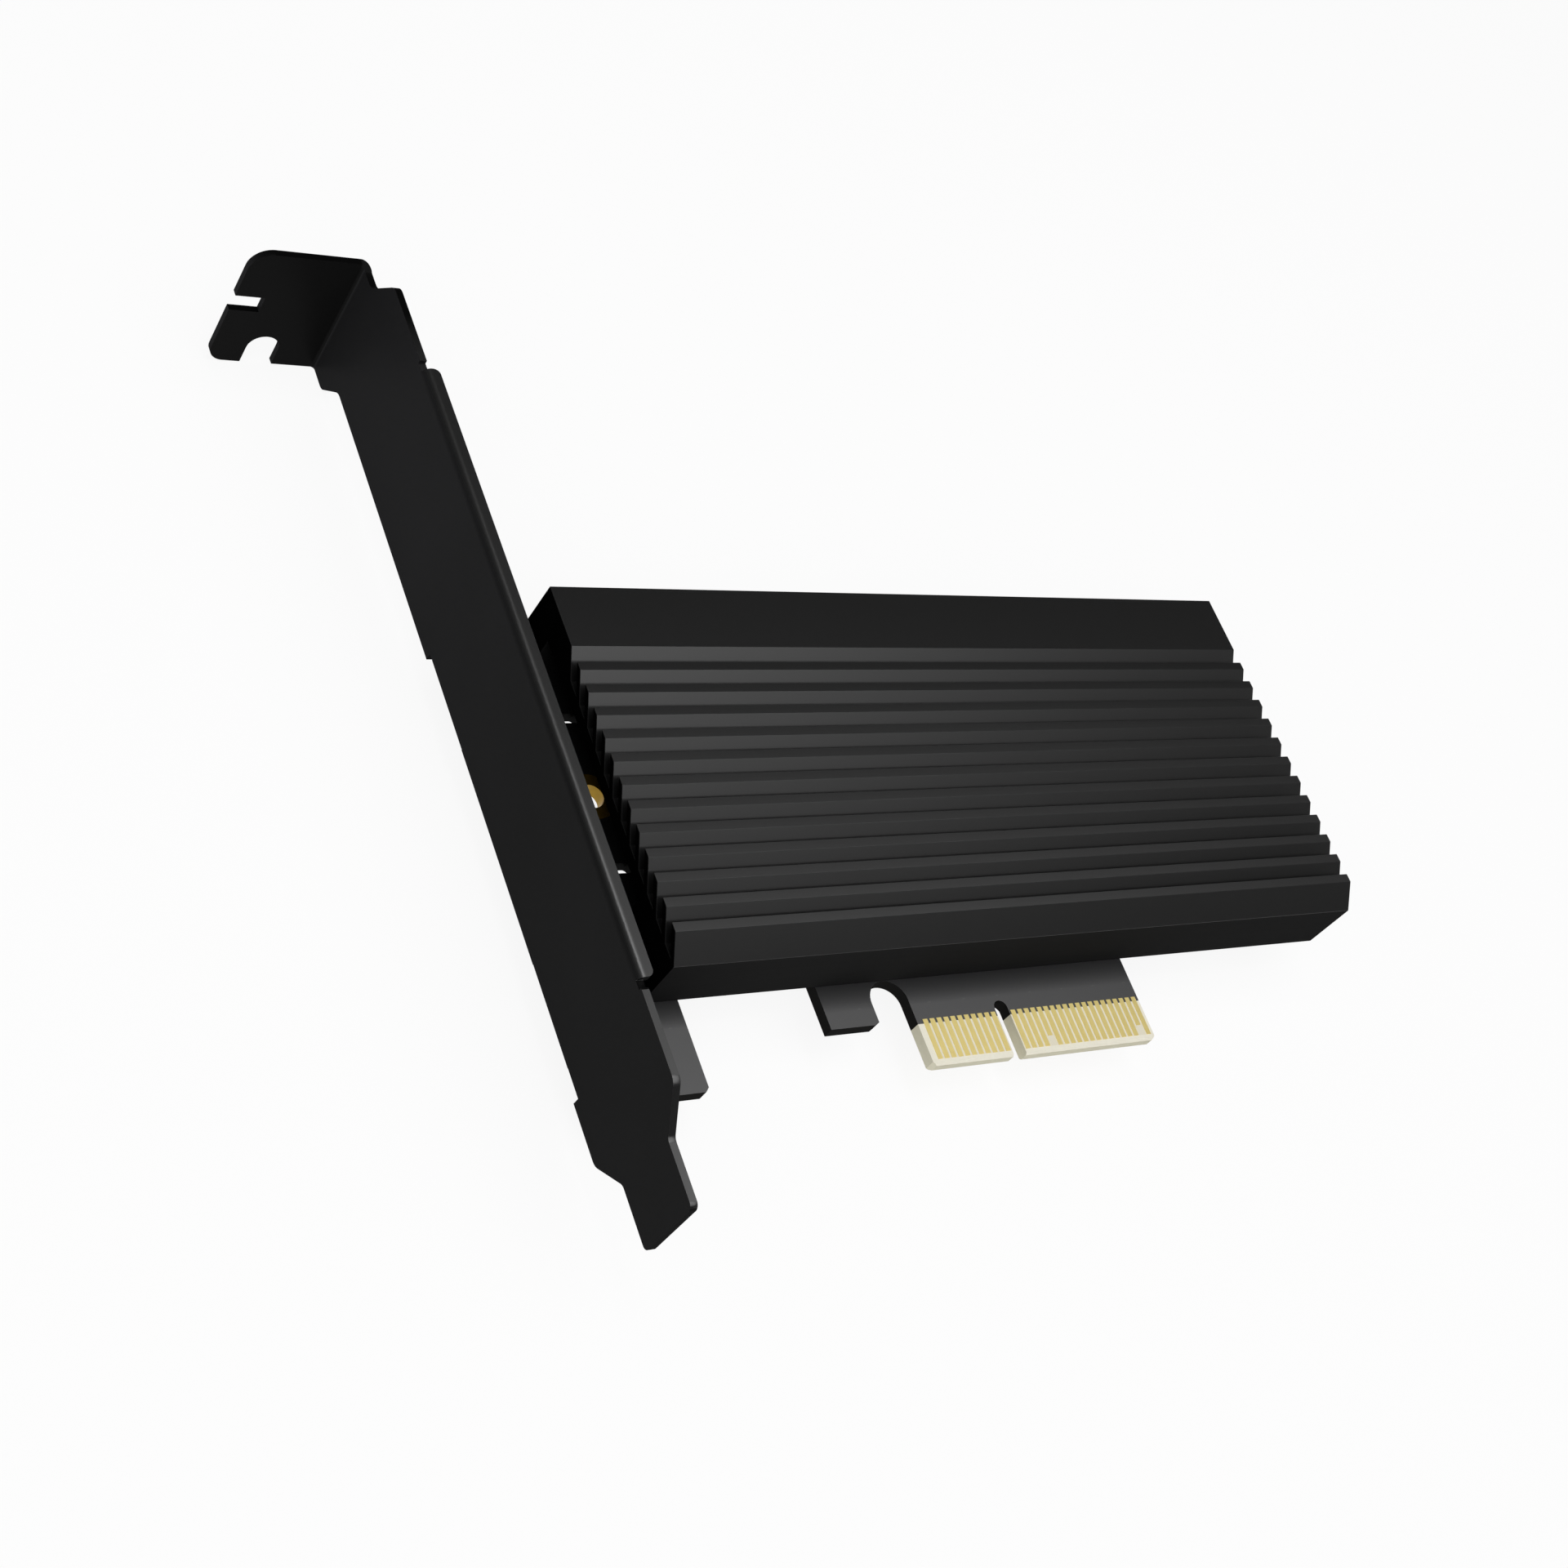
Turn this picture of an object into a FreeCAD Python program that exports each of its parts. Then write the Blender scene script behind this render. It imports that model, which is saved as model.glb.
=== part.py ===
import FreeCAD, Part
import math
import os

# Adapter card for a narrow storage drive. A folded sheet bracket carries a thin board that stands
# on a row of edge contacts. A finned heatsink bridges the drive socket on the component face.
# Frame: x runs along the card from the outer face of the bracket, y runs from the bottom of the
# contact block up to the folded top, z runs out of the component face of the board.
# All sizes are millimetres.

os.makedirs("parts", exist_ok=True)
V = FreeCAD.Vector

# Bracket sheet
sheet = 0.86                # thickness of the folded sheet
bracket_height = 120.02     # from the tip of the tongue to the folded top
bracket_width = 18.42       # from the wide edge to the outer face of the lip
tip_below = 16.43           # tip of the tongue below the contact block
wide_past = 0.40            # wide edge past the outer face of the mounting tabs
between_in = 0.58           # edge between the tabs, level with the round of their fold
narrow_in = 0.70            # edge below the tabs inside their outer face
narrow_low = 1.80           # lower end of the cut back edge
narrow_high = 57.20         # upper end of the cut back edge
edge_inside = 0.15          # plain edge beside the lip inside the face of the lip
corner_soft = 1.50          # radius of the shoulder corners

# Folded top
flange_reach = 13.70        # from the outer face of the bracket to the free edge
flange_width = 17.88
flange_over = 3.41          # overhang past the wide edge
flange_corner_lip = 2.70    # corner radius on the lip side
flange_corner_wide = 2.00   # corner radius on the other side
bend_inside = 0.50          # inner radius of the fold
neck_inset = 0.75           # neck inside the folded top on the lip side
neck_wide_drop = 4.39       # folded top to the slant on the wide side
neck_lip_drop = 3.82        # folded top to the slant on the lip side
neck_lip_fall = 3.92        # height of that slant
screw_slot_width = 4.00
screw_slot_depth = 4.54     # from the side edge to the round end
screw_slot_x = 7.50         # slot centre from the outer face
guide_notch_width = 2.36
guide_notch_depth = 3.65
guide_notch_from = 8.54     # notch from the overhanging side edge

# Lip along the bracket
lip_low = 6.30              # lower end of the lip
lip_length = 77.55
lip_reach = 1.95            # from the outer face to the free edge of the lip
lip_inside = 0.15           # inner radius of the fold
lip_corner = 0.80           # corner radius at the ends of the lip
relief_high = 1.20          # fold relief above the lip
relief_low = 1.10           # fold relief below the lip
relief_depth = 0.45
lip_flat = 0.20             # level stretch of sheet beside the fold of the lip

# Tongue
tongue_width = 10.19
tongue_inset = 3.86         # tongue inside the wide edge
shoulder_wide = 11.13       # tip to the slant on the wide side
shoulder_lip = 11.53        # tip to the slant on the lip side
tongue_corner = 0.75
root_soft = 1.00            # inner corner where the tongue starts

# Mounting tabs and their screws
tab_low = 5.45
tab_width = 12.05
tab_pitch = 39.00
tab_inside = 0.05           # inner radius of the fold
tab_past_screw = 3.80
boss_radius = 2.30
boss_height = 0.77
card_screw_x = 4.00         # screw centre from the edge of the board
card_screw_core = 1.25      # radius of the threaded core
card_screw_head = 2.80      # radius of the pan head
card_screw_head_high = 2.00
card_hole = 1.60            # radius of the board hole
screw_end = 0.40            # screw past the boss

# Board
board_thick = 1.57
board_gap = 0.54            # board edge from the back of the sheet
board_low = 12.20           # main lower edge above the contact block
board_high = 57.40
board_past_socket = 14.10
leg_width = 13.22
leg_low = 0.10
leg_chamfer = 0.50
hook_from = 31.33           # hook tab from the edge of the board
hook_width = 6.77
hook_low = 5.65
hook_chamfer = 0.60
hook_notch = 5.15           # round topped gap beside the hook tab
hook_notch_top = 10.95
block_chamfer = 0.45
block_bevel = 0.25
key_width = 1.90
key_top = 7.10

# Edge contacts
contact_pitch = 1.00
contact_width = 0.66
contact_low = 0.70
contact_high = 5.75
contact_short = 2.00        # lower end of the two short contacts
contact_margin_left = 1.20
contact_margin_right = 0.77
left_count = 11
right_count = 20
short_after_count = 4       # contacts between the key and the first short one
short_before_count = 2      # the last short one counted back from the end
key_space = 3.00            # contact centres on both sides of the key
plating = 0.05              # thickness of plated copper

# Holes for the drive
drive_y = 36.75             # centre line of the drive
drive_hole_from = 11.53     # farthest hole from the edge of the board
drive_long = 80.00          # longest drive
drive_middle = 60.00
drive_short = 42.00
drive_bore = 1.50           # radius inside the plating
drive_wall = 0.20           # plating in the hole
drive_ring = 2.94           # radius of the plated ring
vent_width = 1.25
vent_length = 4.00
vent_high = 10.40           # upper vent from the centre line
vent_low = 9.30             # lower vent from the centre line
vent_past = 0.12            # vents off the hole centre along the card

# Heatsink
sink_from = 8.60            # heatsink from the edge of the board
sink_past_end = 0.48
sink_past_top = 0.57
sink_past_low = 1.22
sink_high = 10.16
sink_flat = 8.10            # plain band along the top edge
sink_first = 2.04           # first groove at its mouth
fin_tip = 1.15
fin_count = 12
groove_depth = 2.40
groove_lean = 1.25          # sideways run of a groove for each unit of depth
slope_run = 2.87            # last slope across the lower edge
sink_wall = 4.67            # upper wall beside the channel
channel_high = 6.24
sink_screw_in = 8.00        # screws from the ends of the heatsink
sink_screw_core = 0.80
sink_screw_head = 1.90
sink_screw_head_high = 1.30
sink_screw_depth = 5.00
sink_hole_past = 0.50       # threaded hole past the end of the screw
sink_board_hole = 1.15

# Thermal pad
pad_width = 20.00
pad_thick = 1.40
pad_from = 8.00             # pad from the end of the heatsink
pad_to_socket = 2.90

# Drive socket
socket_long = 21.90
socket_deep = 8.70
socket_high = 4.20
socket_slot_long = 20.00
socket_slot_deep = 4.30
socket_slot_low = 2.30
socket_slot_gap = 0.95
socket_stop = 0.27          # drive edge to the end of the slot
socket_key = 1.10
socket_key_y = 6.125        # key rib from the centre line
socket_lead = 0.30          # chamfer at the mouth of the slot
pin_pitch = 0.50
pin_count = 38
pin_width = 0.20
pin_thick = 0.15
pin_room = 0.04             # free space on each side of a pin
pin_tail = 1.00
pin_reach = 3.20            # upper and lower fingers along the slot
pin_dip = 0.28              # crest of a finger inside the slot
key_first_count = 29        # first position taken by the key
key_last_count = 32         # last position taken by the key
anchor_long = 2.20
anchor_wide = 1.20
anchor_thick = 0.20

# Small parts behind the socket
chip_cap = 0.25             # metal end of a small chip part
coupling_size = (1.00, 0.50, 0.50)
coupling_count = 8
coupling_pitch = 1.50
coupling_from = 2.60        # row of small capacitors behind the socket
filter_size = (2.00, 1.25, 1.20)
resistor_size = (1.60, 0.80, 0.45)
resistor_count = 5
resistor_pitch = 2.20
edge_row = 12.30            # row of chip parts behind the socket
filter_near = 8.20          # filter capacitors from the centre line
filter_pitch = 3.60
bulk_size = (7.30, 4.30, 2.80)
bulk_from = 7.90
bulk_in = 4.85              # bulk capacitors from the side of the channel
lead_thick = 0.12
bulk_lead_wide = 2.30
bulk_lead_in = 1.30
regulator_size = (4.90, 3.90, 1.45)
regulator_from = 8.60
regulator_off = 3.45
lead_count = 4              # leads on each side of the regulator
regulator_pitch = 1.27
regulator_lead_wide = 0.42
regulator_foot = 0.60
regulator_reach = 1.05
choke_size = (5.40, 5.20, 3.00)
choke_from = 8.40
choke_off = 3.35
choke_corner = 0.80
choke_lead_wide = 3.00


def at(axis, u, v, w):
    """Point w along the axis and (u, v) across it, in cyclic order."""
    if axis == "x":
        return V(w, u, v)
    if axis == "y":
        return V(v, w, u)
    return V(u, v, w)


def prism(axis, corners, low, high):
    """Solid along an axis from an outline of (u, v, radius) corners."""
    firsts = []
    middles = []
    lasts = []
    for i in range(len(corners)):
        u, v, r = corners[i]
        here = V(u, v, 0)
        back = (V(corners[i - 1][0], corners[i - 1][1], 0) - here).normalize()
        ahead = corners[(i + 1) % len(corners)]
        on = (V(ahead[0], ahead[1], 0) - here).normalize()
        half = back.getAngle(on) / 2
        run = r / math.tan(half)
        firsts.append(here + back * run)
        lasts.append(here + on * run)
        middles.append(here + (back + on).normalize() * (r / math.sin(half) - r) if r > 0 else here)
    edges = []
    for i in range(len(corners)):
        if corners[i][2] > 0:
            arc = [at(axis, p.x, p.y, low) for p in (firsts[i], middles[i], lasts[i])]
            edges.append(Part.Arc(*arc).toShape())
        start = lasts[i]
        end = firsts[(i + 1) % len(corners)]
        if start.distanceToPoint(end) > 1e-6:
            line = [at(axis, p.x, p.y, low) for p in (start, end)]
            edges.append(Part.LineSegment(*line).toShape())
    face = Part.Face(Part.Wire(edges))
    return face.extrude(at(axis, 0, 0, high - low))


def block(x0, x1, y0, y1, z0, z1):
    """Box between two corners."""
    return Part.makeBox(x1 - x0, y1 - y0, z1 - z0, V(x0, y0, z0))


def disc(x, y, radius, z0, z1):
    """Round bar along z."""
    return Part.makeCylinder(radius, z1 - z0, V(x, y, z0))


def ring(x, y, inner, outer, z0, z1):
    """Flat ring along z."""
    return disc(x, y, outer, z0, z1).cut(disc(x, y, inner, z0 - 1, z1 + 1))


def strip(path, thick, low, high):
    """Folded strip from low to high in y. The (x, z) path runs along its right hand face."""
    spots = [V(x, 0, z) for x, z in path]
    ways = [(b - a).normalize() for a, b in zip(spots, spots[1:])]
    left = [V(-w.z, 0, w.x) for w in ways]
    far = []
    for i in range(len(spots)):
        a = left[max(i - 1, 0)]
        b = left[min(i, len(left) - 1)]
        far.append(spots[i] + (a + b) * (thick / (1 + a.dot(b))))
    corners = [(p.z, p.x, 0) for p in spots + far[::-1]]
    return prism("y", corners, low, high)


def save(name, solids):
    """Write one node, a single solid or a group of separate ones."""
    shape = solids[0] if len(solids) == 1 else Part.makeCompound(solids)
    shape.exportStep("parts/" + name + ".step")
    triangles = sum(len(s.tessellate(0.05)[1]) for s in solids)
    print(name, len(solids), "valid", all(s.isValid() for s in solids), round(shape.Volume, 3), triangles)


# Heights and edges that several parts share
tip = -tip_below
top = tip + bracket_height
under = -board_thick
tab_face = under - sheet
wide = tab_face - wide_past
lip_face = wide + bracket_width
plain = lip_face - edge_inside
narrow = tab_face + narrow_in
between = tab_face + between_in
flange_z0 = wide - flange_over
flange_z1 = flange_z0 + flange_width
board_x = sheet + board_gap
card_screw = board_x + card_screw_x
tab_reach = card_screw + tab_past_screw
card_screw_ys = [tab_low + tab_width / 2 + k * tab_pitch for k in range(2)]
drive_x = board_x + drive_hole_from
drive_edge = drive_x + drive_long
socket_x1 = drive_edge + socket_stop
socket_front = socket_x1 - socket_slot_deep
socket_rear = socket_front + socket_deep
board_end = socket_rear + board_past_socket
sink_x0 = board_x + sink_from
sink_x1 = board_end + sink_past_end
sink_y0 = board_low - sink_past_low
sink_y1 = board_high + sink_past_top
channel_y1 = sink_y1 - sink_wall
channel_y0 = 2 * drive_y - channel_y1
sink_screw_xs = [sink_x0 + sink_screw_in, sink_x1 - sink_screw_in]
sink_screw_ys = [(board_low + channel_y0) / 2, (board_high + channel_y1) / 2]
sink_screws_at = [(x, y) for x in sink_screw_xs for y in sink_screw_ys]

# Bracket: an L section along z, trimmed by the outlines of its face and of its folded top
section = [
    (sheet, tip - 1, 0),
    (sheet, top, bend_inside + sheet),
    (-flange_reach, top, 0),
    (-flange_reach, top - sheet, 0),
    (0, top - sheet, bend_inside),
    (0, tip - 1, 0),
]
folded = prism("z", section, flange_z0 - 1, lip_face + 1)
tongue_z0 = wide + tongue_inset
tongue_z1 = tongue_z0 + tongue_width
lip_high = lip_low + lip_length
relief_z = plain - relief_depth
lip_root = lip_face - sheet - lip_inside - lip_flat
bend_y = top - sheet - bend_inside
fold_z = tab_face + tab_inside + sheet
neck_y = top - neck_lip_drop
face = [
    (tip, tongue_z0, tongue_corner),
    (tip, tongue_z1, tongue_corner),
    (tip + shoulder_lip - (plain - tongue_z1), tongue_z1, root_soft),
    (tip + shoulder_lip, plain, corner_soft),
    (lip_low - relief_low, plain, 0),
    (lip_low - relief_low, relief_z, 0),
    (lip_low, relief_z, 0),
    (lip_low, lip_root, 0),
    (lip_high, lip_root, 0),
    (lip_high, relief_z, 0),
    (lip_high + relief_high, relief_z, 0),
    (lip_high + relief_high, plain, 0),
    (neck_y - neck_lip_fall, plain, corner_soft),
    (neck_y, flange_z1 - neck_inset, corner_soft),
    (bend_y, flange_z1 - neck_inset, 0),
    (top, flange_z1, 0),
    (top + 1, flange_z1, 0),
    (top + 1, flange_z0, 0),
    (top - neck_wide_drop, flange_z0, corner_soft),
    (top - neck_wide_drop - flange_over, wide, corner_soft),
    (narrow_high, wide, 0),
    (narrow_high, between, 0),
]
for k in (1, 0):
    low = tab_low + k * tab_pitch
    edge = between if k == 1 else narrow
    face += [(low + tab_width, between, 0), (low + tab_width, fold_z, 0), (low, fold_z, 0), (low, edge, 0)]
face += [
    (narrow_low, narrow, 0),
    (narrow_low, wide, 0),
    (tip + shoulder_wide, wide, corner_soft),
    (tip + shoulder_wide - tongue_inset, tongue_z0, root_soft),
]
face_prism = prism("x", face, -bend_inside, sheet + 1)
flange = [
    (flange_z0, -bend_inside, 0),
    (flange_z0, -flange_reach, flange_corner_wide),
    (flange_z1, -flange_reach, flange_corner_lip),
    (flange_z1, -bend_inside, 0),
]
flange_prism = prism("y", flange, top - 2 * sheet, top + 1)
bracket = folded.common(face_prism.fuse(flange_prism))

notch_z = flange_z0 + guide_notch_from
bracket = bracket.cut(block(
    -flange_reach - 1, -flange_reach + guide_notch_depth,
    top - 2 * sheet, top + 1, notch_z, notch_z + guide_notch_width))
half_slot = screw_slot_width / 2
slot = [
    (flange_z0 - 2 * half_slot, -screw_slot_x - half_slot, 0),
    (flange_z0 - 2 * half_slot, -screw_slot_x + half_slot, 0),
    (flange_z0 + screw_slot_depth, -screw_slot_x + half_slot, half_slot * 0.999),
    (flange_z0 + screw_slot_depth, -screw_slot_x - half_slot, half_slot * 0.999),
]
bracket = bracket.cut(prism("y", slot, top - 2 * sheet, top + 1))

lip_section = [
    (lip_root, 0, 0),
    (lip_face, 0, lip_inside + sheet),
    (lip_face, lip_reach, 0),
    (lip_face - sheet, lip_reach, 0),
    (lip_face - sheet, sheet, lip_inside),
    (lip_root, sheet, 0),
]
lip = prism("y", lip_section, lip_low, lip_high)
lip_outline = [
    (-1, lip_low, 0),
    (lip_reach, lip_low, lip_corner),
    (lip_reach, lip_high, lip_corner),
    (-1, lip_high, 0),
]
lip = lip.common(prism("z", lip_outline, lip_root - 1, lip_face + 1))
tab_section = [
    (fold_z, 0, 0),
    (tab_face, 0, tab_inside + sheet),
    (tab_face, tab_reach, 0),
    (under, tab_reach, 0),
    (under, sheet, tab_inside),
    (fold_z, sheet, 0),
]
added = [lip]
for k in range(2):
    low = tab_low + k * tab_pitch
    added.append(prism("y", tab_section, low, low + tab_width))
    added.append(disc(card_screw, card_screw_ys[k], boss_radius, tab_face - boss_height, under))
bracket = bracket.fuse(added)
for y in card_screw_ys:
    bracket = bracket.cut(disc(card_screw, y, card_screw_core, tab_face - boss_height - 1, under + 1))
bracket = bracket.removeSplitter()
save("bracket", [bracket.Solids[0]])

# Screws that hold the board on the tabs
card_screws = []
for y in card_screw_ys:
    head = disc(card_screw, y, card_screw_head, 0, card_screw_head_high)
    shank = disc(card_screw, y, card_screw_core, tab_face - boss_height - screw_end, 0)
    card_screws.append(head.fuse(shank).removeSplitter())
save("bracket_screws", card_screws)

# Board outline with its leg, hook tab and contact block
leg_x = board_x + leg_width
hook_x0 = board_x + hook_from
hook_x1 = hook_x0 + hook_width
block_x0 = hook_x1 + hook_notch
left_x = block_x0 + contact_margin_left
key_x = left_x + (left_count - 1) * contact_pitch + key_space / 2
right_x = key_x + key_space / 2
block_x1 = right_x + (right_count - 1) * contact_pitch + contact_margin_right
board_outline = [
    (board_x, leg_low, 0),
    (leg_x - leg_chamfer, leg_low, 0),
    (leg_x, leg_low + leg_chamfer, 0),
    (leg_x, board_low, 0),
    (hook_x0, board_low, 0),
    (hook_x0, hook_low, 0),
    (hook_x1 - hook_chamfer, hook_low, 0),
    (hook_x1, hook_low + hook_chamfer / 2, 0),
    (hook_x1, hook_notch_top, hook_notch * 0.4999),
    (block_x0, hook_notch_top, hook_notch * 0.4999),
    (block_x0, block_chamfer, 0),
    (block_x0 + block_chamfer, 0, 0),
    (key_x - key_width / 2, 0, 0),
    (key_x - key_width / 2, key_top, key_width * 0.4999),
    (key_x + key_width / 2, key_top, key_width * 0.4999),
    (key_x + key_width / 2, 0, 0),
    (block_x1 - block_chamfer, 0, 0),
    (block_x1, block_chamfer, 0),
    (block_x1, board_low, 0),
    (board_end, board_low, 0),
    (board_end, board_high, 0),
    (board_x, board_high, 0),
]
board = prism("z", board_outline, under, 0)
for face_z, inward in ((0, -1), (under, 1)):
    wedge = [
        (-1, face_z - inward, 0),
        (block_bevel, face_z, 0),
        (0, face_z + inward * block_bevel, 0),
        (-1, face_z + inward * block_bevel, 0),
    ]
    board = board.cut(prism("x", wedge, block_x0 - 0.01, block_x1 + 0.01))
drive_holes = [drive_edge - length for length in (drive_long, drive_middle, drive_short)]
holes = [disc(x, drive_y, drive_bore + drive_wall, under - 1, 1) for x in drive_holes]
holes += [disc(card_screw, y, card_hole, under - 1, 1) for y in card_screw_ys]
holes += [disc(x, y, sink_board_hole, under - 1, 1) for x, y in sink_screws_at]
for y in (drive_y + vent_high, drive_y - vent_low):
    x = drive_x + vent_past
    vent = [
        (x - vent_length / 2, y - vent_width / 2, vent_width * 0.4999),
        (x + vent_length / 2, y - vent_width / 2, vent_width * 0.4999),
        (x + vent_length / 2, y + vent_width / 2, vent_width * 0.4999),
        (x - vent_length / 2, y + vent_width / 2, vent_width * 0.4999),
    ]
    holes.append(prism("z", vent, under - 1, 1))
board = board.cut(holes)
save("circuit_board", [board.Solids[0]])

# Edge contacts on both faces, with one short contact each
spots = [left_x + k * contact_pitch for k in range(left_count)]
spots += [right_x + k * contact_pitch for k in range(right_count)]
half = contact_width / 2
component_side = []
solder_side = []
short_component = (left_count + short_after_count, left_count + right_count - short_before_count)
for k in range(len(spots)):
    low = contact_short if k in short_component else contact_low
    component_side.append(block(spots[k] - half, spots[k] + half, low, contact_high, 0, plating))
    low = contact_short if k == 0 else contact_low
    solder_side.append(block(spots[k] - half, spots[k] + half, low, contact_high, under - plating, under))
save("component_contacts", component_side)
save("solder_contacts", solder_side)

# Plated holes that take the drive standoff
plated = []
for x in drive_holes:
    sleeve = ring(x, drive_y, drive_bore, drive_bore + drive_wall, under - plating, plating)
    upper = ring(x, drive_y, drive_bore, drive_ring, 0, plating)
    lower = ring(x, drive_y, drive_bore, drive_ring, under - plating, under)
    plated.append(sleeve.fuse([upper, lower]).removeSplitter())
save("drive_hole_plating", plated)

# Heatsink section: plain band, leaning grooves, last slope and the channel underneath
lean = groove_lean * groove_depth
floor = sink_high - groove_depth
first_tip = sink_y1 - sink_flat - sink_first
last_tip = sink_y0 + slope_run + fin_tip
fin_pitch = (first_tip - last_tip) / (fin_count - 1)
profile = [(sink_y1, 0, 0), (sink_y1, sink_high, 0), (sink_y1 - sink_flat, sink_high, 0)]
profile.append((sink_y1 - sink_flat - lean, floor, 0))
for k in range(fin_count):
    tip_y = first_tip - k * fin_pitch
    profile += [(tip_y - lean, floor, 0), (tip_y, sink_high, 0), (tip_y - fin_tip, sink_high, 0)]
    if k < fin_count - 1:
        profile.append((tip_y - fin_tip - lean, floor, 0))
profile += [
    (sink_y0, floor, 0),
    (sink_y0, 0, 0),
    (channel_y0, 0, 0),
    (channel_y0, channel_high, 0),
    (channel_y1, channel_high, 0),
    (channel_y1, 0, 0),
]
heatsink = prism("x", profile, sink_x0, sink_x1)
threads = [disc(x, y, sink_screw_core, -1, sink_screw_depth + sink_hole_past) for x, y in sink_screws_at]
heatsink = heatsink.cut(threads)
save("heatsink", [heatsink.Solids[0]])

sink_screws = []
for x, y in sink_screws_at:
    head = disc(x, y, sink_screw_head, under - sink_screw_head_high, under)
    shank = disc(x, y, sink_screw_core, under, sink_screw_depth)
    sink_screws.append(head.fuse(shank).removeSplitter())
save("heatsink_screws", sink_screws)

pad = block(
    sink_x0 + pad_from, socket_front - pad_to_socket,
    drive_y - pad_width / 2, drive_y + pad_width / 2,
    channel_high - pad_thick, channel_high)
save("thermal_pad", [pad])

# Drive socket: body with its slot, key rib and one groove for each pin
slot_z0 = socket_slot_low
slot_z1 = slot_z0 + socket_slot_gap
body = block(socket_front, socket_rear, drive_y - socket_long / 2, drive_y + socket_long / 2, 0, socket_high)
mouth = [
    (slot_z0 - socket_lead, socket_front - 1, 0),
    (slot_z0 - socket_lead, socket_front, 0),
    (slot_z0, socket_front + socket_lead, 0),
    (slot_z0, socket_x1, 0),
    (slot_z1, socket_x1, 0),
    (slot_z1, socket_front + socket_lead, 0),
    (slot_z1 + socket_lead, socket_front, 0),
    (slot_z1 + socket_lead, socket_front - 1, 0),
]
body = body.cut(prism("y", mouth, drive_y - socket_slot_long / 2, drive_y + socket_slot_long / 2))
key_y = drive_y - socket_key_y
rib = block(
    socket_front + socket_lead, socket_x1 + 0.01,
    key_y - socket_key / 2, key_y + socket_key / 2, slot_z0 - 0.01, slot_z1 + 0.01)
body = body.fuse(rib)
taken = range(key_first_count, key_last_count + 1)
upper_spots = [k for k in range(pin_count) if k not in taken]
lower_spots = [k for k in range(pin_count - 1) if k not in taken]
first_pin = drive_y + (pin_count - 1) / 2 * pin_pitch
upper_ys = [first_pin - k * pin_pitch for k in upper_spots]
lower_ys = [first_pin - (k + 0.5) * pin_pitch for k in lower_spots]
side = pin_width / 2 + pin_room
upper_top = slot_z1 + 3 * pin_thick
lower_bed = slot_z0 - 3 * pin_thick
tip_x = socket_x1 - pin_reach
grooves = [
    block(tip_x - 2 * pin_thick, socket_rear + 1, y - side, y + side, slot_z1 - 0.01, upper_top)
    for y in upper_ys
]
grooves += [
    block(socket_front - 1, socket_x1, y - side, y + side, lower_bed, slot_z0 + 0.01)
    for y in lower_ys
]
body = body.cut(grooves).removeSplitter()
save("socket_housing", [body.Solids[0]])

# Pins: the upper row leaves at the rear, the lower row at the front
crest_upper = slot_z1 - pin_dip
crest_lower = slot_z0 + pin_dip
upper_path = [
    (socket_rear + pin_tail, 0),
    (socket_rear, 0),
    (socket_rear, upper_top - pin_thick),
    (socket_x1 - pin_reach / 2, upper_top - pin_thick),
    (tip_x, crest_upper),
]
lower_path = [
    (socket_front - pin_tail, pin_thick),
    (socket_front - pin_thick, pin_thick),
    (socket_front - pin_thick, lower_bed + pin_thick),
    (socket_x1 - 3 * pin_thick, crest_lower + pin_thick),
]
upper_pins = []
lower_pins = []
for y in upper_ys:
    upper_pins.append(strip(upper_path, -pin_thick, y - pin_width / 2, y + pin_width / 2))
for y in lower_ys:
    lower_pins.append(strip(lower_path, -pin_thick, y - pin_width / 2, y + pin_width / 2))
save("socket_upper_pins", upper_pins)
save("socket_lower_pins", lower_pins)

anchors = []
for way in (-1, 1):
    y = drive_y + way * socket_long / 2
    x = (socket_front + socket_rear) / 2
    foot = block(
        x - anchor_long / 2, x + anchor_long / 2,
        min(y, y + way * anchor_wide), max(y, y + way * anchor_wide), 0, anchor_thick)
    wall = block(
        x - anchor_long / 2, x + anchor_long / 2,
        min(y, y + way * anchor_thick), max(y, y + way * anchor_thick), 0, socket_high / 2)
    anchors.append(foot.fuse(wall).removeSplitter())
save("socket_anchors", anchors)


def chip(x, y, size, along):
    """Chip part on the board: its body and its two metal ends."""
    length, width, high = size
    pieces = []
    for a, b, low, tall in (
        (-length / 2, -length / 2 + chip_cap, 0, high),
        (-length / 2 + chip_cap, length / 2 - chip_cap, 0.02, high - 0.02),
        (length / 2 - chip_cap, length / 2, 0, high),
    ):
        if along == "x":
            pieces.append(block(x + a, x + b, y - width / 2, y + width / 2, low, tall))
        else:
            pieces.append(block(x - width / 2, x + width / 2, y + a, y + b, low, tall))
    return pieces[1], [pieces[0], pieces[2]]


# Chip parts behind the socket
coupling = []
filters = []
resistors = []
ends = []
for k in range(coupling_count):
    y = drive_y + (k - (coupling_count - 1) / 2) * coupling_pitch
    made, caps = chip(socket_rear + coupling_from, y, coupling_size, "x")
    coupling.append(made)
    ends += caps
for way in (-1, 1):
    for k in range(2):
        y = drive_y + way * (filter_near + k * filter_pitch)
        made, caps = chip(socket_rear + edge_row, y, filter_size, "y")
        filters.append(made)
        ends += caps
for k in range(resistor_count):
    y = drive_y + (k - (resistor_count - 1) / 2) * resistor_pitch
    made, caps = chip(socket_rear + edge_row, y, resistor_size, "y")
    resistors.append(made)
    ends += caps
save("coupling_capacitors", coupling)
save("filter_capacitors", filters)
save("resistors", resistors)
save("chip_ends", ends)

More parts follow.
